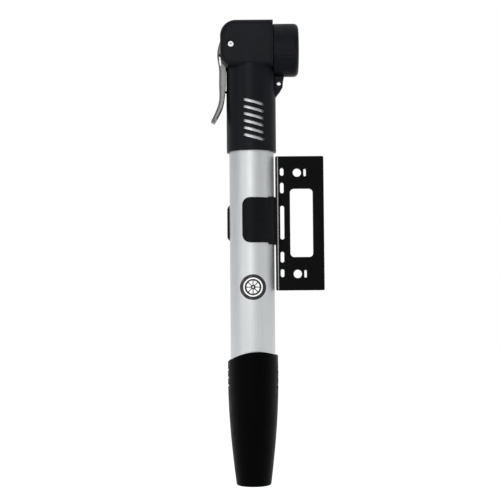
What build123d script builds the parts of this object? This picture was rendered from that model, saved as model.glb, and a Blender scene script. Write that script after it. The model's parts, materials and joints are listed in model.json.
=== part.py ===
from build123d import *
import os
from math import cos, radians, sin

# A bicycle mini pump in its bottle-cage bracket, in millimetres. +Z runs up the pump towards its
# head, +X points from the barrel to the bracket's bolt holes, and -Y is the front. The origin is
# midway between the two bolt holes, on the plate's back face. Everything is drawn about the barrel's
# own axis and moved there at the end.

AXIS_X = -28.6
AXIS_Y = -1.5
WALL_GAP = 0.05

# Barrel
BARREL_R = 14.0
BARREL_BORE_R = 13.0
BARREL_TOP = 87.0
BARREL_BOTTOM = -116.0

# Bracket
BOLT_SPACING = 64.0
BOLT_HOLE_R = 2.65
BOLT_X = 28.6
BOLT_SEAT_R = 6.5
PLATE_LEFT = 14.9
PLATE_RIGHT = 45.4
PLATE_HALF_HEIGHT = 42.4
PLATE_HALF_T = 1.5
CLIP_BORE_R = BARREL_R + WALL_GAP
CLIP_OUTER_R = 15.6
CLIP_TOP = 15.4
CLIP_BOTTOM = -12.6
CLIP_FRONT_TIP_DEG = 247.0
CLIP_REAR_TIP_DEG = 180.0
CLIP_FRONT_CORNER_R = 5.0
REAR_TIP_TOP = 9.6
REAR_TIP_BOTTOM = -8.9

# Head
COLLAR_R = 15.6
COLLAR_BOTTOM = 44.9
HEAD_LEFT = -19.1
HEAD_RIGHT = 13.9
HEAD_TOP = 126.8
HEAD_BOTTOM = 97.5
HEAD_HALF_DEPTH = 16.2
PLENUM_TOP = 90.2
SLOT_COUNT = 6
SLOT_PITCH = 4.4
SLOT_TOP_Z = 75.0
SLOT_X = 1.6
SLOT_LENGTH = 13.4
SLOT_HEIGHT = 1.9
SLOT_DEPTH = 10.0
SLOT_SLOPE_DEG = 14.6

# Cord eye under the nozzle
EYE_X = 17.7
EYE_Z = 88.6

# Chuck, on a cross axis along X
CHUCK_Z = 110.0
CHUCK_BORE_R = 9.0
SPIGOT_R = 14.1
SPIGOT_END = 25.0
CAP_R = 16.7
CAP_LEFT = 14.2
CAP_RIGHT = 30.1
VALVE_HOLE_R = 4.9
GROMMET_BORE_R = 4.0
STEM_R = 4.5

# Thumb lever
PIVOT_X = -12.4
PIVOT_Z = 111.0
PIN_R = 1.9
PIN_DIMPLE_R = 0.8
PIN_RECESS_R = 2.7
LEVER_HALF_W = 5.5
LEVER_SHEET = 1.2
LEVER_TOP = (-17.4, 120.0)
LEVER_TIP_BACK = (-25.4, 64.5)
LEVER_EDGE_R = 1.8
CAM_R = 6.0
CAM_RISE_PER_RAD = 1.146
CAM_END_DEG = 108.0
LEVER_SLOT_HALF_W = 5.9
LEVER_SWING_R = 11.0

# Check valve: a ball on a 45-degree seat, under a light spring
SEAT_Z = 79.5
BALL_R = 2.3
BALL_Z = SEAT_Z - 1.5 + BALL_R * 2**0.5 + 0.07
VALVE_BORE_R = 3.0
RETAINER_Z = 86.4

# Plunger and handle
ROD_R = 4.0
PISTON_BOTTOM = 62.0
PISTON_TOP = 72.0
GUIDE_TOP = -108.0
HANDLE_BORE_R = 14.3
HANDLE_BORE_BOTTOM = -119.5
HANDLE_BOTTOM = -163.5


def rod_z(radius, z0, z1, x=0.0, y=0.0):
    """A round bar along Z."""
    return Pos(x, y, (z0 + z1) / 2) * Cylinder(radius, z1 - z0)


def ring_z(outer, inner, z0, z1):
    """A plain ring along Z."""
    return rod_z(outer, z0, z1) - rod_z(inner, z0 - 1, z1 + 1)


def rod_x(radius, x0, x1):
    """A round bar along the chuck's axis."""
    return Pos((x0 + x1) / 2, 0, CHUCK_Z) * Rot(0, 90, 0) * Cylinder(radius, x1 - x0)


def ring_x(outer, inner, x0, x1):
    """A plain ring along the chuck's axis."""
    return rod_x(outer, x0, x1) - rod_x(inner, x0 - 1, x1 + 1)


def rod_y(radius, x, z, half_length):
    """A round bar along Y, centred on the pump's middle plane."""
    return Pos(x, 0, z) * Rot(90, 0, 0) * Cylinder(radius, 2 * half_length)


def box_between(x0, x1, y0, y1, z0, z1):
    """A box from one corner to the other."""
    middle = Pos((x0 + x1) / 2, (y0 + y1) / 2, (z0 + z1) / 2)
    return middle * Box(x1 - x0, y1 - y0, z1 - z0)


def side_slab(outline, half_width):
    """A closed outline drawn in X and Z, thickened evenly about the middle plane."""
    return extrude(Plane.XZ * make_face(outline), half_width, both=True)


def near(value, target):
    return abs(value - target) < 0.01


# Barrel, with its badge wrapped on the front


def make_barrel():
    tube = ring_z(BARREL_R, BARREL_BORE_R, BARREL_BOTTOM, BARREL_TOP)
    rims = tube.edges().filter_by(GeomType.CIRCLE)
    return chamfer(rims, 0.25)


def make_badge():
    skin = ring_z(BARREL_R + 0.25, BARREL_R, -50, -30)
    disc = Pos(0.3, -BARREL_R, -40.3) * Rot(90, 0, 0) * Cylinder(8.0, 20)
    return skin & disc


# Bracket


def plate_slot(x, z, width, height):
    ends = Pos(x, z) * SlotOverall(height, width, rotation=90)
    return extrude(Plane.XZ * ends, 10, both=True)


def make_clip():
    """The C-shaped clip, open towards the front left. Its rear arm narrows to a short tip."""
    wedge_angles = (CLIP_REAR_TIP_DEG, 213.0, CLIP_FRONT_TIP_DEG)
    wedge = [(30 * cos(radians(a)), 30 * sin(radians(a))) for a in wedge_angles]
    mouth = make_face(Polyline((0, 0), *wedge, close=True))
    section = Circle(CLIP_OUTER_R) - Circle(CLIP_BORE_R) - mouth
    clip = Pos(0, 0, CLIP_BOTTOM) * extrude(section, CLIP_TOP - CLIP_BOTTOM)
    level = clip.edges().filter_by(GeomType.LINE).filter_by(Plane.XY)
    clip = fillet(level.filter_by(lambda e: e.center().Y < -1), CLIP_FRONT_CORNER_R)
    for tip_z, far_z in ((REAR_TIP_TOP, CLIP_TOP + 0.1), (REAR_TIP_BOTTOM, CLIP_BOTTOM - 0.1)):
        towards_middle = tip_z * 0.8
        taper = Polyline((-0.1, towards_middle), (1.6, tip_z), (13.0, far_z), (-0.1, far_z), close=True)
        clip -= Pos(-12, 0, 0) * extrude(Plane.YZ * make_face(taper), 12, both=True)
    return clip


def make_clip_root():
    """The taller web that joins the clip to the plate, with hollow corners."""
    web = Pos(18, 0) * Rectangle(12, 2 * PLATE_HALF_T)
    section = Circle(CLIP_OUTER_R) + web
    inner_corners = section.vertices().filter_by(lambda v: 14 < v.X < 16.5 and abs(v.Y) < 2)
    section = fillet(inner_corners, 4.0) - Circle(CLIP_BORE_R)
    section = section & (Pos(17, 0) * Rectangle(13, 20))
    return Pos(0, 0, -13.6) * extrude(section, 29.7)


def make_bracket():
    middle_x = (PLATE_LEFT + PLATE_RIGHT) / 2
    blank = RectangleRounded(PLATE_RIGHT - PLATE_LEFT, 2 * PLATE_HALF_HEIGHT, 0.9)
    plate = Pos(middle_x, 0, 0) * extrude(Plane.XZ * blank, PLATE_HALF_T, both=True)
    rims = plate.edges().filter_by(lambda e: near(abs(e.center().Y), PLATE_HALF_T))
    plate = chamfer(rims, 0.4)
    window = Pos(31.25, 0, 0.2) * extrude(Plane.XZ * RectangleRounded(14.4, 43.2, 2.5), 10, both=True)
    lip = box_between(PLATE_LEFT + 0.1, 16.9, -3.2, 0, -41.6, 41.6)
    lip = chamfer(lip.edges().filter_by(lambda e: near(e.center().Y, -3.2)), 0.6)
    bracket = plate + lip - window + make_clip_root()
    for z in (-BOLT_SPACING / 2, BOLT_SPACING / 2):
        bracket -= rod_y(BOLT_HOLE_R, BOLT_X, z, 10)
        bracket -= Pos(0, -10 - PLATE_HALF_T + 0.5, 0) * rod_y(BOLT_SEAT_R, BOLT_X, z, 10)
        bracket -= plate_slot(33.5, z, 1.6, 4.8)
        bracket -= plate_slot(19.0, z + 0.5, 2.3, 5.0)
    for z in (-21.4, 22.3):
        bracket -= plate_slot(19.0, z, 2.3, 6.8)
    bracket -= plate_slot(19.1, 0.4, 2.5, 21.4)
    return bracket + make_clip()


# Head


def make_head_block():
    corners = [
        (HEAD_LEFT, HEAD_TOP),
        (HEAD_RIGHT, HEAD_TOP),
        (HEAD_RIGHT, HEAD_BOTTOM),
        (-14.4, HEAD_BOTTOM),
        (HEAD_LEFT, 102.2),
    ]
    face = make_face(Polyline(*corners, close=True))
    left = face.vertices().filter_by(lambda v: near(v.X, HEAD_LEFT)).sort_by(Axis.Y)
    face = fillet(left[-1], 9.8)
    left = face.vertices().filter_by(lambda v: near(v.X, HEAD_LEFT)).sort_by(Axis.Y)
    face = fillet(left[0], 4.0)
    block = extrude(Plane.XZ * face, HEAD_HALF_DEPTH, both=True)
    rims = block.edges().filter_by(lambda e: near(abs(e.center().Y), HEAD_HALF_DEPTH))
    block = fillet(rims.filter_by(lambda e: not near(e.center().X, HEAD_RIGHT)), 3.6)
    for side in (-1, 1):
        face_y = side * HEAD_HALF_DEPTH
        block -= box_between(12.2, 12.9, face_y - 0.4, face_y + 0.4, 90, 130)
    return block


def make_lanyard_eye():
    top = [(14.0, 93.0), (21.0, 93.0)]
    edge = [(20.3, 89.6), (20.1, 86.6), (18.4, 83.6), (15.6, 80.0), (14.0, 80.0)]
    return side_slab(Polyline(*top, *edge, close=True), 2.0) - rod_y(1.3, EYE_X, EYE_Z, 5)


def make_head():
    head = make_head_block()
    head += rod_z(COLLAR_R, COLLAR_BOTTOM, HEAD_BOTTOM + 6)
    head -= box_between(HEAD_RIGHT, 20, -20, 20, 92.5, 110)
    head += rod_x(SPIGOT_R, HEAD_RIGHT - 1, SPIGOT_END)
    head += make_lanyard_eye()
    head += Pos(-COLLAR_R, 0, 83.5) * Sphere(0.9)
    head -= rod_z(CLIP_BORE_R, COLLAR_BOTTOM - 1, PLENUM_TOP)
    head -= rod_z(1.5, PLENUM_TOP - 1, CHUCK_Z - 6, x=11.5)
    head -= rod_x(CHUCK_BORE_R, 3.0, SPIGOT_END + 1)
    head -= rod_x(STEM_R + 0.1, -8.0, 4.0)
    head -= rod_y(LEVER_SWING_R, PIVOT_X, PIVOT_Z, LEVER_SLOT_HALF_W)
    half = LEVER_SLOT_HALF_W
    head -= box_between(-25, -8.5, -half, half, HEAD_BOTTOM, PIVOT_Z)
    head -= box_between(-12, -2.4, -half, half, 104.0, 114.1)
    head -= rod_y(PIN_R + WALL_GAP, PIVOT_X, PIVOT_Z, 30)
    for side in (-1, 1):
        head -= Pos(0, side * HEAD_HALF_DEPTH, 0) * rod_y(PIN_RECESS_R, PIVOT_X, PIVOT_Z, 0.5)
    for index in range(SLOT_COUNT):
        slot = Box(SLOT_LENGTH, SLOT_DEPTH, SLOT_HEIGHT)
        head -= Pos(SLOT_X, -COLLAR_R, SLOT_TOP_Z - index * SLOT_PITCH) * Rot(0, SLOT_SLOPE_DEG, 0) * slot
    return head


# Chuck


def make_nozzle_cap():
    cap = rod_x(CAP_R, CAP_LEFT, CAP_RIGHT)
    cap = fillet(cap.edges().filter_by(lambda e: near(e.center().X, CAP_RIGHT)), 3.0)
    cap = fillet(cap.edges().filter_by(lambda e: near(e.center().X, CAP_LEFT)), 0.5)
    flute = Pos(22.3, CAP_R + 0.65, CHUCK_Z) * Rot(0, 90, 0) * Cylinder(0.85, 8.0)
    flutes = [Pos(0, 0, CHUCK_Z) * Rot(a * 12.0, 0, 0) * Pos(0, 0, -CHUCK_Z) * flute for a in range(30)]
    cap -= flutes
    cap -= rod_x(SPIGOT_R + WALL_GAP, CAP_LEFT - 1, SPIGOT_END + 0.2)
    cap -= rod_x(CHUCK_BORE_R + 0.1, SPIGOT_END, 27.6)
    cap -= rod_x(VALVE_HOLE_R, 27, CAP_RIGHT + 1)
    mouth = cap.edges().filter_by(GeomType.CIRCLE).filter_by(lambda e: near(e.radius, VALVE_HOLE_R))
    return chamfer(mouth.sort_by(Axis.X)[-1], 0.8)


def make_grommet():
    grommet = ring_x(8.8, GROMMET_BORE_R, 19.5, 27.5)
    groove = ring_x(10, 7.6, 22.6, 24.4)
    return grommet - groove


def make_chuck_plunger():
    plunger = rod_x(8.92, 4.2, 10.0) + rod_x(8.0, 10.0, 16.4) + rod_x(STEM_R, -4.6, 4.2)
    plunger -= ring_x(10, 7.3, 5.8, 8.0)
    return plunger - rod_x(3.0, 1.0, 17)


def make_thrust_plate():
    """The hard plate the lever's cam bears on."""
    return box_between(-6.13, -4.6, -5.4, 5.4, 104.5, 113.6)


# Lever


def spiral_point(degrees):
    radius = CAM_R + CAM_RISE_PER_RAD * radians(max(degrees, 0.0))
    return (PIVOT_X + radius * cos(radians(degrees)), PIVOT_Z + radius * sin(radians(degrees)))


def lever_back(shift):
    """The lever's outer line seen from the front, moved sideways by shift."""
    points = [LEVER_TOP, (-20.0, 113.4), (-21.2, 107.0), (-20.2, 98.6)]
    points += [(-20.1, 87.4), (-20.3, 77.0), (-22.4, 70.6), LEVER_TIP_BACK]
    return Spline(*[(x + shift, z) for x, z in points])


def make_lever():
    tip = (-23.3, 63.6)
    shoulder = (-15.9, 97.4)
    front_edge = Spline(tip, (-20.0, 69.7), (-18.2, 73.6), (-16.9, 79.4), (-16.1, 87.4), shoulder)
    pivot = (PIVOT_X, PIVOT_Z)
    closing = Polyline(shoulder, (-15.0, 103.0), pivot, spiral_point(CAM_END_DEG), LEVER_TOP)
    body = side_slab([lever_back(0), Line(LEVER_TIP_BACK, tip), front_edge, closing], LEVER_HALF_W)
    spiral = Spline(*[spiral_point(CAM_END_DEG * step / 6) for step in range(7)])
    cam_edges = [spiral, Line(spiral_point(CAM_END_DEG), pivot), Line(pivot, spiral_point(0))]
    back_edges = body.edges().filter_by(lambda e: e.length > 50 and e.center().X < -19)
    body = fillet(back_edges, LEVER_EDGE_R)
    lever = body + side_slab(cam_edges, LEVER_HALF_W) + rod_y(CAM_R, PIVOT_X, PIVOT_Z, LEVER_HALF_W)
    tip_x, tip_z = LEVER_TIP_BACK
    top_x, top_z = LEVER_TOP
    inner_tip = (tip_x + LEVER_SHEET, tip_z)
    far_side = Polyline(inner_tip, (0, tip_z), (0, top_z), (top_x + LEVER_SHEET, top_z))
    hollow = side_slab([lever_back(LEVER_SHEET), far_side], LEVER_HALF_W - LEVER_SHEET)
    hollow -= box_between(-30, 0, -10, 10, 60, 66.4)
    lever -= hollow
    slit = Polyline((-19.4, 99.4), (-20.1, 103.5), (-20.2, 107.3), (-18.8, 107.3), (-18.8, 99.4), close=True)
    lever -= side_slab(slit, 20)
    lever -= rod_y(PIN_R + 0.1, PIVOT_X, PIVOT_Z, 20)
    front_view = Pos(0, 91.9) * RectangleRounded(2 * LEVER_HALF_W, 58.8, 3.6)
    keep = extrude(Plane.YZ * front_view, 30, both=True)
    return lever & keep


def make_lever_pin():
    """A hollow rivet, dimpled at both ends."""
    half = HEAD_HALF_DEPTH + 0.15
    pin = rod_y(PIN_R, PIVOT_X, PIVOT_Z, half)
    pin = chamfer(pin.edges().filter_by(GeomType.CIRCLE), 0.3)
    for side in (-1, 1):
        pin -= Pos(0, side * half, 0) * rod_y(PIN_DIMPLE_R, PIVOT_X, PIVOT_Z, 2.4)
    return pin


# Air side of the barrel


def make_barrel_plug():
    plug = rod_z(BARREL_BORE_R - WALL_GAP, 77, 87.1) + rod_z(BARREL_R - WALL_GAP, 87.05, 88.4)
    plug -= ring_z(14, 11.1, 80.0, 82.2)
    plug -= rod_z(1.5, 76, 80)
    plug -= Pos(0, 0, SEAT_Z + 0.75) * Cone(1.5, VALVE_BORE_R, 1.5)
    return plug - rod_z(VALVE_BORE_R, SEAT_Z + 1.5, 90)


def make_check_spring():
    """Four turns of wire between the ball and its retainer."""
    coil = Helix(pitch=0.68, height=2.72, radius=1.45)
    wire = sweep(Plane(coil @ 0, z_dir=coil % 0) * Circle(0.16), path=coil)
    return Pos(0, 0, RETAINER_Z - 2.95) * wire


def make_spring_retainer():
    return ring_z(VALVE_BORE_R - 0.02, 1.0, RETAINER_Z, 88.0)


# Plunger


def make_piston_rod():
    rod = rod_z(ROD_R, -150, PISTON_BOTTOM) + rod_z(2.5, PISTON_BOTTOM, 75.8)
    return rod - rod_z(2.0, -151, -136)


def make_piston():
    piston = ring_z(12.6, 2.55, PISTON_BOTTOM, PISTON_TOP)
    return piston - ring_z(14, 10.8, 65.5, 68.5)


def make_piston_nut():
    hexagon = RegularPolygon(4.6, 6) - Circle(2.5 + WALL_GAP)
    return Pos(0, 0, PISTON_TOP) * extrude(hexagon, 3.2)


def make_rod_guide():
    guide = rod_z(BARREL_BORE_R - WALL_GAP, BARREL_BOTTOM - 0.1, GUIDE_TOP)
    guide += rod_z(BARREL_R - 0.1, BARREL_BOTTOM - 1.6, BARREL_BOTTOM - WALL_GAP)
    guide -= rod_z(ROD_R + 0.08, -130, -100)
    for angle in (30, 150, 270):
        guide -= Rot(0, 0, angle) * rod_z(1.0, -130, -100, x=10.8)
    return guide


# Handle


def make_handle_blank():
    """The tapering outside, cut at the mouth to a lopsided arch."""
    side = Spline((15.7, -84.0), (15.5, -112.0), (14.5, -129.0), (12.4, -150.4), (10.8, HANDLE_BOTTOM))
    rest = Polyline((10.8, HANDLE_BOTTOM), (0, HANDLE_BOTTOM), (0, -79.0), (15.7, -79.0), (15.7, -84.0))
    blank = revolve(Plane.XZ * make_face([side, rest]), Axis.Z)
    blank = fillet(blank.edges().sort_by(Axis.Z)[0], 1.2)
    arch = ThreePointArc((-18.0, -88.4), (3.5, -80.3), (18.0, -84.3))
    above = Polyline((18.0, -84.3), (18.0, -70.0), (-18.0, -70.0), (-18.0, -88.4))
    return blank - side_slab([arch, above], 20)


def make_handle():
    handle = make_handle_blank()
    handle -= rod_z(HANDLE_BORE_R, HANDLE_BORE_BOTTOM, -70)
    handle -= rod_z(ROD_R + 0.02, -150, HANDLE_BORE_BOTTOM + 1)
    handle -= rod_z(2.1, -160, -149)
    handle -= rod_z(5.2, HANDLE_BOTTOM - 1, -156)
    wall = [(12.9, HANDLE_BORE_BOTTOM), (12.0, -129), (10.0, -149)]
    core = Polyline(*wall, (0, -149), (0, HANDLE_BORE_BOTTOM), close=True)
    pockets = revolve(Plane.XZ * make_face(core), Axis.Z) - rod_z(7.0, -160, -110)
    for angle in (0, 60, 120):
        pockets -= Rot(0, 0, angle) * Box(40, 2.0, 400)
    handle -= pockets
    for side in (-1, 1):
        for z in (-91.8, -96.7, -101.5):
            groove = Rot(side * 14.0, 0, 0) * Box(1.6, 17, 1.7)
            handle -= Pos(side * 15.6, 0, z) * groove
    return handle


def make_handle_screw():
    screw = rod_z(4.2, -160.2, -157.05) + rod_z(1.95, -157.1, -138)
    socket = Pos(0, 0, -161) * extrude(RegularPolygon(1.8, 6), 3.0)
    return screw - socket


PARTS = {
    "bracket": make_bracket(),
    "barrel": make_barrel(),
    "badge": make_badge(),
    "head_body": make_head(),
    "nozzle_cap": make_nozzle_cap(),
    "valve_grommet": make_grommet(),
    "slip_washer": ring_x(8.8, 4.3, 18.3, 19.45),
    "chuck_plunger": make_chuck_plunger(),
    "plunger_oring": Pos(6.9, 0, CHUCK_Z) * Rot(0, 90, 0) * Torus(8.13, 0.8),
    "thrust_plate": make_thrust_plate(),
    "thumb_lever": make_lever(),
    "lever_pin": make_lever_pin(),
    "barrel_plug": make_barrel_plug(),
    "plug_oring": Pos(0, 0, 81.1) * Torus(12.04, 0.9),
    "check_ball": Pos(0, 0, BALL_Z) * Sphere(BALL_R),
    "check_spring": make_check_spring(),
    "spring_retainer": make_spring_retainer(),
    "piston_rod": make_piston_rod(),
    "piston": make_piston(),
    "piston_seal": Pos(0, 0, 67.0) * Torus(11.9, 1.05),
    "piston_nut": make_piston_nut(),
    "rod_guide": make_rod_guide(),
    "guide_bumper": ring_z(9.0, ROD_R + 0.3, GUIDE_TOP, GUIDE_TOP + 2.5),
    "handle": make_handle(),
    "handle_washer": ring_z(4.8, 2.2, -157.05, -156.0),
    "handle_screw": make_handle_screw(),
}

os.makedirs("parts", exist_ok=True)
for name, shape in PARTS.items():
    export_step(Pos(AXIS_X, AXIS_Y, 0) * shape, f"parts/{name}.step")
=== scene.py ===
import json
from math import asin, cos, pi, radians, sin

import bmesh
import bpy
from mathutils import Matrix, Vector


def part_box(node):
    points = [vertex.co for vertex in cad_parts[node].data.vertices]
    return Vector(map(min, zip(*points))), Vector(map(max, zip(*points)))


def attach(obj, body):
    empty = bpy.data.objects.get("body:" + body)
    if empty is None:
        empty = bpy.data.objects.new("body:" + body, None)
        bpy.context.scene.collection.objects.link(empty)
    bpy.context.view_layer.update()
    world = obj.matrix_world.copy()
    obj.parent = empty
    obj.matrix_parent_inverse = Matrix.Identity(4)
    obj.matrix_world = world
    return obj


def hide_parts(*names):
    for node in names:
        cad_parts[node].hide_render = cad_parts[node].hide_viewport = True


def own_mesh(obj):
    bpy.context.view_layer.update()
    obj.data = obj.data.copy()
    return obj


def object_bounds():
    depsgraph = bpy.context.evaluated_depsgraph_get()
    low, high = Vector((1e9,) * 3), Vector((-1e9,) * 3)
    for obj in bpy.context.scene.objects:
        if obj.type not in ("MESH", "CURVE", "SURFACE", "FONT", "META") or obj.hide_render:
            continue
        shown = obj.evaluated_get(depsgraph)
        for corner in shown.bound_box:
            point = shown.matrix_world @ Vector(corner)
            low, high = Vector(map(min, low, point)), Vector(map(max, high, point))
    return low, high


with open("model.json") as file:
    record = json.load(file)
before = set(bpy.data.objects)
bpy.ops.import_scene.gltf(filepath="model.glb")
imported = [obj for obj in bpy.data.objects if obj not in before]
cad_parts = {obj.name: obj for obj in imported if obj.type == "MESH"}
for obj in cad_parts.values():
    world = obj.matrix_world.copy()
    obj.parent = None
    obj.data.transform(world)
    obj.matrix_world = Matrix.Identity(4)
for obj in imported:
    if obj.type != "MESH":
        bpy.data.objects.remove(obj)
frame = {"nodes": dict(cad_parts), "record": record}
cad_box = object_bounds()
NODES = frame["nodes"]
BARREL_LOW, BARREL_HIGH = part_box("barrel")
AXIS = (BARREL_LOW + BARREL_HIGH) / 2
BARREL_R = (BARREL_HIGH.x - BARREL_LOW.x) / 2
MM = 0.001
BEVEL_SAMPLES = 6
WHITE = (1.0, 1.0, 1.0, 1.0)


# ---------------------------------------------------------------- material building


def map_range(tree, value, low, high, to_low, to_high):
    """Adds a node to the tree that maps low..high to to_low..to_high, clamped."""
    node = tree.nodes.new("ShaderNodeMapRange")
    for name, number in (("From Min", low), ("From Max", high), ("To Min", to_low), ("To Max", to_high)):
        node.inputs[name].default_value = number
    tree.links.new(value, node.inputs["Value"])
    return node.outputs["Result"]


class Graph:
    """Adds and joins the nodes of one material, whose place is its piece's own coordinates in metres."""

    def __init__(self, name):
        self.material = bpy.data.materials.new(name)
        self.material.use_nodes = True
        self.tree = self.material.node_tree
        self.shader = self.tree.nodes["Principled BSDF"]
        self.place = self.add("ShaderNodeTexCoord").outputs["Object"]

    def add(self, kind, **settings):
        node = self.tree.nodes.new(kind)
        for key, value in settings.items():
            setattr(node, key, value)
        return node

    def join(self, output, socket):
        self.tree.links.new(output, socket)

    def noise(self, scale, stretch=(1, 1, 1), detail=3.0, roughness=0.55):
        """Noise whose scale is in repeats per metre, pulled out along an axis by a small stretch."""
        mapping = self.add("ShaderNodeMapping")
        mapping.inputs["Scale"].default_value = stretch
        self.join(self.place, mapping.inputs["Vector"])
        noise = self.add("ShaderNodeTexNoise")
        noise.inputs["Scale"].default_value = scale
        noise.inputs["Detail"].default_value = detail
        noise.inputs["Roughness"].default_value = roughness
        self.join(mapping.outputs["Vector"], noise.inputs["Vector"])
        return noise.outputs["Fac"]

    def cells(self, scale):
        """Rounded grains, scale to the metre, as a height."""
        cells = self.add("ShaderNodeTexVoronoi", feature="SMOOTH_F1")
        cells.inputs["Scale"].default_value = scale
        self.join(self.place, cells.inputs["Vector"])
        return cells.outputs["Distance"]

    def span(self, value, low, high, to_low, to_high):
        """Maps low..high to to_low..to_high, clamped."""
        return map_range(self.tree, value, low, high, to_low, to_high)

    def math(self, operation, first, second):
        """A sum or product of two values, each a number or another node's output."""
        node = self.add("ShaderNodeMath", operation=operation)
        for socket, value in zip(node.inputs, (first, second)):
            if isinstance(value, (int, float)):
                socket.default_value = value
            else:
                self.join(value, socket)
        return node.outputs["Value"]

    def mix(self, factor, first, second):
        """Blends two colours; each may be a colour or another node's output."""
        node = self.add("ShaderNodeMix", data_type="RGBA")
        self.join(factor, node.inputs["Factor"])
        for socket, value in ((node.inputs[6], first), (node.inputs[7], second)):
            if isinstance(value, tuple):
                socket.default_value = (*value, 1.0)
            else:
                self.join(value, socket)
        return node.outputs[2]

    def band_x(self, low, high, soft):
        """1 where X lies between low and high, falling to 0 over soft on either side."""
        split = self.add("ShaderNodeSeparateXYZ")
        self.join(self.place, split.inputs["Vector"])
        rise = self.span(split.outputs["X"], low - soft, low, 0.0, 1.0)
        fall = self.span(split.outputs["X"], high, high + soft, 1.0, 0.0)
        return self.math("MULTIPLY", rise, fall)

    def rounded_normal(self, radius):
        """The surface's normal, with every edge rounded over radius."""
        bevel = self.add("ShaderNodeBevel", samples=BEVEL_SAMPLES)
        bevel.inputs["Radius"].default_value = radius
        return bevel.outputs["Normal"]

    def edges(self, radius):
        """About 0 on flat ground and up to 1 where the surface turns within radius."""
        rounded = self.rounded_normal(radius)
        geometry = self.add("ShaderNodeNewGeometry")
        dot = self.add("ShaderNodeVectorMath", operation="DOT_PRODUCT")
        self.join(rounded, dot.inputs[0])
        self.join(geometry.outputs["Normal"], dot.inputs[1])
        return self.span(dot.outputs["Value"], 0.99, 0.75, 0.0, 1.0)

    def relief(self, heights, rounding=0.0):
        """Chains bumps, each (height output, strength, distance in metres), on softly rounded edges."""
        normal = self.rounded_normal(rounding) if rounding else None
        for height, strength, distance in heights:
            bump = self.add("ShaderNodeBump")
            bump.inputs["Strength"].default_value = strength
            bump.inputs["Distance"].default_value = distance
            self.join(height, bump.inputs["Height"])
            if normal is not None:
                self.join(normal, bump.inputs["Normal"])
            normal = bump.outputs["Normal"]
        self.join(normal, self.shader.inputs["Normal"])

    def finish(self, colour, roughness, **uniform):
        """Sets colour and roughness, each an output or a plain value, and any uniform sockets."""
        for socket, value in (("Base Color", colour), ("Roughness", roughness)):
            if isinstance(value, tuple):
                self.shader.inputs[socket].default_value = (*value, 1.0)
            elif isinstance(value, float):
                self.shader.inputs[socket].default_value = value
            else:
                self.join(value, self.shader.inputs[socket])
        for key, value in uniform.items():
            self.shader.inputs[key.replace("_", " ")].default_value = value
        return self.material


def shade(colour, factor):
    """The colour made darker or lighter, kept within 1."""
    return tuple(min(1.0, channel * factor) for channel in colour)


def moulded_plastic(name, colour, roughness, grain=2600, edge_wear_and_painted_light=0.5, gloss=1.0, painted_bands=()):
    """Injection-moulded plastic: spark-eroded grain, faint flow marks, and paler edges that are partly
    rubbed wear and partly a painted edge highlight.

    Gloss scales the straight-on reflection and leaves the glancing one. Each painted band is a stretch of X
    painted paler to stand in for light on it, as (low, high, soft edge, colour)."""
    g = Graph(name)
    grain_height = g.cells(grain)
    flow = g.noise(60, (1, 1, 0.35), 4.0)
    scuffs = g.noise(900, (1, 1, 0.12), 5.0, 0.7)
    # Edges painted paler: partly rubbed wear, partly a painted edge highlight.
    edge_rub_and_highlight = g.math("MULTIPLY", g.edges(0.5 * MM), g.span(g.noise(420), 0.42, 0.62, 0.0, edge_wear_and_painted_light))
    tone = g.mix(g.span(flow, 0.35, 0.65, 0.0, 1.0), shade(colour, 0.82), shade(colour, 1.2))
    tone = g.mix(g.span(scuffs, 0.62, 0.75, 0.0, 0.35), tone, shade(colour, 2.4))
    tone = g.mix(edge_rub_and_highlight, tone, shade(colour, 5.0))
    patches = g.span(g.noise(520, detail=4.0), 0.36, 0.6, 0.75, 1.0)
    # Painted light: each band paints its stretch of X paler, broken up by patches.
    for low, high, soft, band_colour in painted_bands:
        tone = g.mix(g.math("MULTIPLY", g.band_x(low, high, soft), patches), tone, band_colour)
    rough = g.span(g.noise(240, detail=5.0), 0.3, 0.7, roughness - 0.06, roughness + 0.07)
    g.relief([(grain_height, 0.22, 0.06 * MM), (scuffs, 0.08, 0.03 * MM)], 0.25 * MM)
    return g.finish(tone, rough, Specular_IOR_Level=0.15, Specular_Tint=(gloss, gloss, gloss, 1.0))


def brushed_metal(name, colour, roughness, stretch, edge_wear_and_painted_light=0.3, anisotropy=0.4, edge_tone=1.25):
    """Metal with lines along the axis that stretch shrinks, smudges, and edges toned by edge_tone: paler
    above 1 as polished wear, darker below 1 as a painted shade.
    """
    g = Graph(name)
    lines = g.noise(5200, stretch, 4.0, 0.65)
    broad = g.noise(900, stretch, 2.0)
    smudge = g.noise(55, detail=5.0)
    tone = g.mix(g.span(lines, 0.3, 0.7, 0.0, 1.0), shade(colour, 0.9), shade(colour, 1.06))
    tone = g.mix(g.span(broad, 0.35, 0.65, 0.0, 0.4), tone, shade(colour, 0.93))
    # Edge tone: polished wear where paler, painted shade where darker.
    tone = g.mix(g.math("MULTIPLY", g.edges(0.3 * MM), edge_wear_and_painted_light), tone, shade(colour, edge_tone))
    rough = g.math(
        "ADD",
        g.span(lines, 0.3, 0.7, roughness - 0.05, roughness + 0.05),
        g.span(smudge, 0.45, 0.7, 0.0, 0.07),
    )
    g.relief([(lines, 0.1, 0.02 * MM)], 0.12 * MM)
    return g.finish(tone, rough, Metallic=1.0, Anisotropic=anisotropy)


def soft_rubber(name, colour):
    """Matt rubber with a fine grain and a pale bloom."""
    g = Graph(name)
    bloom = g.noise(700, detail=6.0)
    tone = g.mix(g.span(bloom, 0.4, 0.7, 0.0, 1.0), shade(colour, 0.8), shade(colour, 1.7))
    g.relief([(g.cells(3200), 0.25, 0.05 * MM), (bloom, 0.15, 0.05 * MM)], 0.2 * MM)
    return g.finish(tone, g.span(bloom, 0.3, 0.7, 0.6, 0.8), Specular_IOR_Level=0.3)


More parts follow.
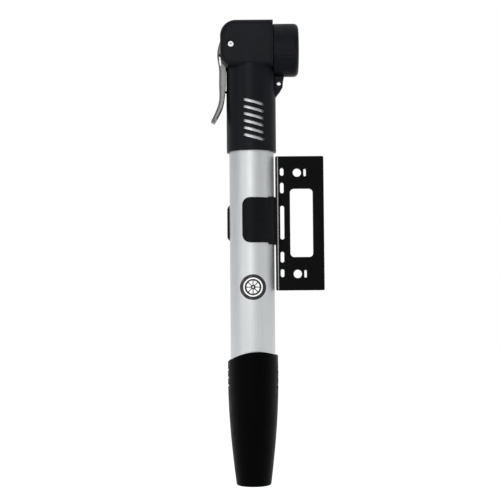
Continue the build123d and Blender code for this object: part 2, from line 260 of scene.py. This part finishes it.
def printed_film(name, colour, glow=0.0):
    """Screen-printed ink under a clear film, with a little ink mottle, film ripple and, where glow is set,
    an even painted glow that brightens the print beyond its lighting.
    """
    g = Graph(name)
    mottle = g.noise(3800, detail=4.0)
    tone = g.mix(g.span(mottle, 0.3, 0.7, 0.0, 1.0), shade(colour, 0.94), shade(colour, 1.04))
    g.relief([(g.noise(500), 0.08, 0.04 * MM)])
    return g.finish(
        tone,
        g.span(mottle, 0.3, 0.7, 0.28, 0.38),
        Coat_Weight=0.4,
        Coat_Roughness=0.12,
        Emission_Color=WHITE,
        Emission_Strength=glow,
    )


# ---------------------------------------------------------------- the materials themselves

# Brushing stretches the noise along the axis whose factor is small.
ALONG_PUMP = (1.0, 1.0, 0.012)
ACROSS_PUMP = (1.0, 0.02, 1.0)
TURNED = (0.05, 0.05, 1.0)
UNSTRETCHED = (1.0, 1.0, 1.0)

# Where the bracket is painted paler as light: a painted sheen on the clip's arms, and a painted highlight
# along the plate's lip.
# The arms' painted sheen, paler than the plate.
ARM_PAINTED_SHEEN = (AXIS.x - 20 * MM, AXIS.x + 14 * MM, 3 * MM, (0.0085, 0.009, 0.0105))
# A light grey painted highlight line along the lip's edge.
LIP_PAINTED_HIGHLIGHT = (AXIS.x + 16.1 * MM, AXIS.x + 16.5 * MM, 0.2 * MM, (0.62, 0.62, 0.63))

LOOKS = {
    "bracket_plastic": moulded_plastic(
        "bracket plastic",
        (0.0012, 0.0013, 0.0016),
        0.34,
        grain=2200,
        edge_wear_and_painted_light=0.3,
        gloss=0.5,
        painted_bands=(ARM_PAINTED_SHEEN, LIP_PAINTED_HIGHLIGHT),
    ),
    "barrel_aluminium": brushed_metal("satin anodised aluminium", (0.80, 0.815, 0.82), 0.42, ALONG_PUMP),
    "head_plastic": moulded_plastic("head plastic", (0.006, 0.0066, 0.0096), 0.4, grain=3000, edge_wear_and_painted_light=0.3),
    "cap_plastic": moulded_plastic(
        "cap plastic", (0.005, 0.0055, 0.0083), 0.4, grain=3000, edge_wear_and_painted_light=0.3, gloss=0.95
    ),
    "handle_plastic": moulded_plastic(
        "handle plastic", (0.0009, 0.001, 0.0014), 0.46, grain=3200, edge_wear_and_painted_light=0.3, gloss=0.24
    ),
    "soft_rubber": soft_rubber("grommet rubber", (0.02, 0.02, 0.021)),
    "seal_rubber": soft_rubber("seal rubber", (0.015, 0.015, 0.015)),
    "white_nylon": moulded_plastic("natural nylon", (0.68, 0.66, 0.6), 0.4, edge_wear_and_painted_light=0.0),
    "grey_plastic": moulded_plastic("grey acetal", (0.16, 0.165, 0.17), 0.4, edge_wear_and_painted_light=0.1),
    "plated_steel": brushed_metal("zinc plated steel", (0.74, 0.74, 0.73), 0.3, ACROSS_PUMP),
    # The lever's edges are painted dark, a painted shade standing in for the dark reflections along them.
    "lever_steel": brushed_metal(
        "formed lever steel", (0.24, 0.244, 0.232), 0.34, ALONG_PUMP, edge_wear_and_painted_light=0.8, edge_tone=0.25
    ),
    "spring_steel": brushed_metal("spring wire", (0.55, 0.55, 0.54), 0.35, UNSTRETCHED),
    "brass_turned": brushed_metal("turned brass", (0.78, 0.58, 0.25), 0.3, TURNED),
    "rod_steel": brushed_metal("plated rod", (0.8, 0.8, 0.81), 0.16, ALONG_PUMP, edge_wear_and_painted_light=0.2, anisotropy=0.2),
}
INK = printed_film("badge ink", (0.012, 0.012, 0.013))
# The badge's white carries a painted glow, so it shines brighter than the lamps light it.
GLOWING_BADGE_WHITE = printed_film("badge white", (0.9, 0.9, 0.89), glow=0.45)

SLOT_OF = {entry["node"]: entry["material_slot"] for entry in frame["record"]["subparts"]}
for node_name, node in NODES.items():
    look = LOOKS.get(SLOT_OF[node_name], GLOWING_BADGE_WHITE)
    node.data.materials.clear()
    node.data.materials.append(look)


# ---------------------------------------------------------------- check spring

# The coil stands in for the CAD spring, as a copy on a mesh of its own; the real spring shortens as the ball
# lifts.
coil = bpy.data.objects.new("valve_coil", NODES["check_spring"].data.copy())
coil.matrix_world = NODES["check_spring"].matrix_world
bpy.context.scene.collection.objects.link(coil)
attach(coil, "pump")
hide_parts("check_spring")
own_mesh(coil)


# ---------------------------------------------------------------- badge

BADGE_LOW, BADGE_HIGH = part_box("badge")
BADGE_R = (BADGE_HIGH.z - BADGE_LOW.z) / 2
FILM = 0.25 * MM
PRINT_BASE = FILM * 0.5
SPOKES = 8
SPOKE_STEPS = 4
SPOKE_HALF_WIDTH = 0.3 * MM


def wrapped(u, v, radius):
    """A point over the barrel's surface that is u across and v up when seen from the front."""
    turn = asin(u / BARREL_R)
    return Vector((AXIS.x + radius * sin(turn), AXIS.y - radius * cos(turn), v))


def badge_piece(name, strips, height, material):
    """Raised strips of a print, each of (inner, outer) edge points, wrapped on the barrel."""
    mesh = bpy.data.meshes.new(name)
    bm = bmesh.new()
    centre_v = (BADGE_LOW.z + BADGE_HIGH.z) / 2
    centre_u = (BADGE_LOW.x + BADGE_HIGH.x) / 2 - AXIS.x
    for pairs, closed in strips:
        rows = []
        for inner, outer in pairs:
            corners = []
            for (u, v), rise in ((inner, PRINT_BASE), (inner, height), (outer, height), (outer, PRINT_BASE)):
                corners.append(bm.verts.new(wrapped(centre_u + u, centre_v + v, BARREL_R + rise)))
            rows.append(corners)
        count = len(rows)
        for index in range(count if closed else count - 1):
            first, second = rows[index], rows[(index + 1) % count]
            for side in range(len(first)):
                after = (side + 1) % len(first)
                bm.faces.new((first[side], second[side], second[after], first[after]))
        if not closed:
            bm.faces.new(rows[0])
            bm.faces.new(list(reversed(rows[-1])))
    bmesh.ops.recalc_face_normals(bm, faces=bm.faces)
    bm.to_mesh(mesh)
    bm.free()
    mesh.materials.append(material)
    obj = bpy.data.objects.new(name, mesh)
    bpy.context.scene.collection.objects.link(obj)
    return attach(obj, "pump")


def circle_band(inner, outer, steps):
    """A ring's edge points between two radii, and that it closes on itself."""
    pairs = []
    for step in range(steps):
        angle = 2 * pi * step / steps
        across, up = cos(angle), sin(angle)
        pairs.append(((inner * across, inner * up), (outer * across, outer * up)))
    return pairs, True


def spoke_band(angle, near_end, far_end, half_width):
    """A spoke's edge points, in steps that follow the barrel's curve, and that it has two ends."""
    pairs = []
    for step in range(SPOKE_STEPS + 1):
        reach = near_end + (far_end - near_end) * step / SPOKE_STEPS
        left = (reach * cos(angle) - half_width * sin(angle), reach * sin(angle) + half_width * cos(angle))
        right = (reach * cos(angle) + half_width * sin(angle), reach * sin(angle) - half_width * cos(angle))
        pairs.append((left, right))
    return pairs, False


border = circle_band(BADGE_R - 2.1 * MM, BADGE_R - 0.05 * MM, 72)
badge_piece("badge_ring", [border], FILM + 0.06 * MM, INK)

tyre = circle_band(BADGE_R - 4.0 * MM, BADGE_R - 2.9 * MM, 60)
hub = circle_band(0.5 * MM, 1.5 * MM, 30)
spokes = [
    spoke_band(2 * pi * k / SPOKES, 1.4 * MM, BADGE_R - 3.9 * MM, SPOKE_HALF_WIDTH) for k in range(SPOKES)
]
badge_piece("badge_wheel", [tyre, hub, *spokes], FILM + 0.05 * MM, INK)


# ---------------------------------------------------------------- stage, light and camera


def stage_mesh(name, verts, faces, material):
    """A smooth mesh that belongs to the studio and not to the pump."""
    mesh = bpy.data.meshes.new(name)
    mesh.from_pydata(verts, [], faces)
    mesh.materials.append(material)
    for face in mesh.polygons:
        face.use_smooth = True
    obj = bpy.data.objects.new(name, mesh)
    bpy.context.scene.collection.objects.link(obj)
    return obj


# The floor lies below the whole travel of the handle. It is plain round the pump and glows further
# out, so that it melts into the white backdrop.
FLOOR_DROP = 0.2
FLOOR_HALF = 6.0
GLOW_START = 0.7
GLOW_FULL = 1.15
GLOW_STRENGTH = 0.65


def floor_paint():
    g = Graph("studio floor")
    flat = g.add("ShaderNodeVectorMath", operation="MULTIPLY")
    flat.inputs[1].default_value = (1.0, 1.0, 0.0)
    g.join(g.place, flat.inputs[0])
    reach = g.add("ShaderNodeVectorMath", operation="LENGTH")
    g.join(flat.outputs["Vector"], reach.inputs[0])
    glow = g.span(reach.outputs["Value"], GLOW_START, GLOW_FULL, 0.0, GLOW_STRENGTH)
    g.join(glow, g.shader.inputs["Emission Strength"])
    return g.finish((0.9, 0.9, 0.9), 0.9, Emission_Color=WHITE)


floor_z = cad_box[0].z - FLOOR_DROP
floor_corners = [(x * FLOOR_HALF, y * FLOOR_HALF, floor_z) for x, y in ((-1, -1), (1, -1), (1, 1), (-1, 1))]
stage_mesh("floor", floor_corners, [(0, 1, 2, 3)], floor_paint())


def soft_box(name, offset, aim_height, size, watts, spread_deg=180.0):
    """A light of size (width, height) at offset from the pump's middle, aimed at its axis.

    A narrow spread falls off away from the aim."""
    light = bpy.data.lights.new(name, "AREA")
    light.shape = "RECTANGLE"
    light.size, light.size_y = size
    light.energy = watts
    light.spread = radians(spread_deg)
    obj = bpy.data.objects.new(name, light)
    obj.location = MIDDLE + Vector(offset)
    aim = MIDDLE + Vector((0, 0, aim_height))
    obj.rotation_euler = (aim - obj.location).to_track_quat("-Z", "Y").to_euler()
    obj.visible_camera = False
    bpy.context.scene.collection.objects.link(obj)


MIDDLE = Vector((AXIS.x, AXIS.y, 0.0))
HEAD_AIM = 0.09
soft_box("front box", (-0.21, -1.25, 0.38), HEAD_AIM, (0.38, 0.9), 0.31, spread_deg=60)
soft_box("left box", (-0.98, -0.85, 0.3), HEAD_AIM, (0.35, 1.2), 0.16, spread_deg=60)
soft_box("right box", (1.25, -0.4, 0.35), 0.0, (0.5, 1.0), 0.5)
soft_box("top box", (0.1, -0.25, 1.1), 0.05, (0.9, 0.9), 1.2)

# The sky lights the pump with a wash that grows towards its back (+Y), and is seen as plain white.
WASH_FRONT = 0.38
WASH_BACK = 0.7

world = bpy.data.worlds.new("studio")
bpy.context.scene.world = world
world.use_nodes = True
sky = world.node_tree
washed = sky.nodes["Background"]
washed.inputs["Color"].default_value = (0.96, 0.98, 1.0, 1.0)
facing = sky.nodes.new("ShaderNodeTexCoord")
split = sky.nodes.new("ShaderNodeSeparateXYZ")
sky.links.new(facing.outputs["Generated"], split.inputs["Vector"])
wash = map_range(sky, split.outputs["Y"], -0.1, 0.9, WASH_FRONT, WASH_BACK)
sky.links.new(wash, washed.inputs["Strength"])
backdrop = sky.nodes.new("ShaderNodeBackground")
backdrop.inputs["Color"].default_value = WHITE
backdrop.inputs["Strength"].default_value = 1.0
path = sky.nodes.new("ShaderNodeLightPath")
either = sky.nodes.new("ShaderNodeMixShader")
sky.links.new(path.outputs["Is Camera Ray"], either.inputs["Fac"])
sky.links.new(washed.outputs["Background"], either.inputs[1])
sky.links.new(backdrop.outputs["Background"], either.inputs[2])
sky.links.new(either.outputs["Shader"], sky.nodes["World Output"].inputs["Surface"])

scene = bpy.context.scene
scene.view_settings.view_transform = "Standard"

# The frame is FRAME_WIDTH metres wide at the pump's axis. A slightly low camera looks up at it.
CAMERA_DISTANCE = 0.735
CAMERA_ELEVATION = radians(-2.6)
CAMERA_ROLL = radians(-0.45)
FRAME_WIDTH = 0.31525
FRAME_CENTRE_X = AXIS.x - 1.4 * MM
FRAME_CENTRE_Z = -16.7 * MM
SENSOR_MM = 36.0

target = Vector((FRAME_CENTRE_X, AXIS.y, FRAME_CENTRE_Z))
camera_data = bpy.data.cameras.new("camera")
camera_data.sensor_width = SENSOR_MM
camera_data.lens = SENSOR_MM * CAMERA_DISTANCE / FRAME_WIDTH
camera_data.clip_start = 0.01
camera_data.clip_end = 50.0
camera = bpy.data.objects.new("camera", camera_data)
away = Vector((0, -cos(CAMERA_ELEVATION), sin(CAMERA_ELEVATION)))
camera.location = target + away * CAMERA_DISTANCE
look = (-away).to_track_quat("-Z", "Y").to_matrix().to_4x4()
camera.matrix_world = Matrix.Translation(camera.location) @ look @ Matrix.Rotation(CAMERA_ROLL, 4, "Z")
scene.collection.objects.link(camera)
scene.camera = camera
